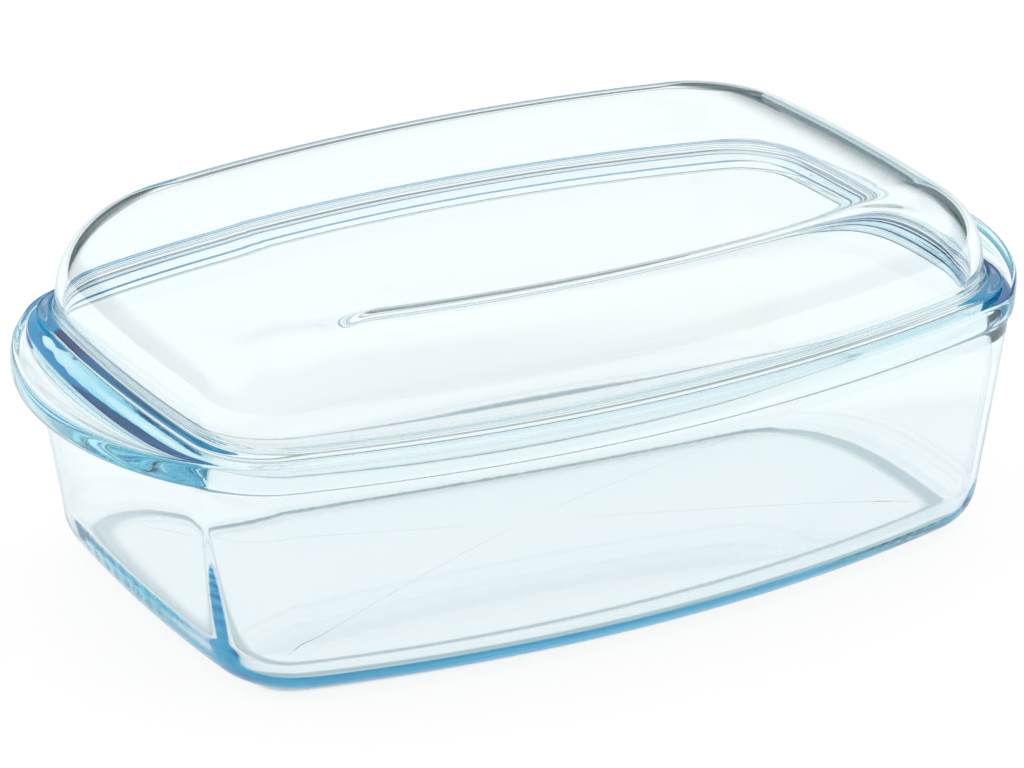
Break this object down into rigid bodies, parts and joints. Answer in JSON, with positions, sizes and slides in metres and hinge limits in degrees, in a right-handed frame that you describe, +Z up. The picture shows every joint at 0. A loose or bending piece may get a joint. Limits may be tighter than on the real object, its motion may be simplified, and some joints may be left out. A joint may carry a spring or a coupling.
{
  "type": "covered glass oven dish",
  "caption": "Deep rectangular glass oven dish with bowed sides, a handle tab at each end and a domed glass lid that lifts off.",
  "frame": {"origin": "under the centre of the dish, on the surface it stands on", "axes": "+X along the dish from handle to handle, +Y across it, +Z up"},
  "size_m": [0.382, 0.224, 0.133],
  "materials": {
    "dish_glass": "clear pressed glass with a pale aqua cast, blue where it is seen through its thickness, polished",
    "lid_glass": "clear pressed glass with a pale aqua cast, polished"
  },
  "bodies": {
    "dish": {"dish": "dish_glass"},
    "lid": {"lid": "lid_glass"}
  },
  "joints": [
    {"name": "lid_lift", "type": "slide", "parent": "dish", "child": "lid", "axis": [0, 0, 1], "range_m": [0, 0.12]}
  ]
}
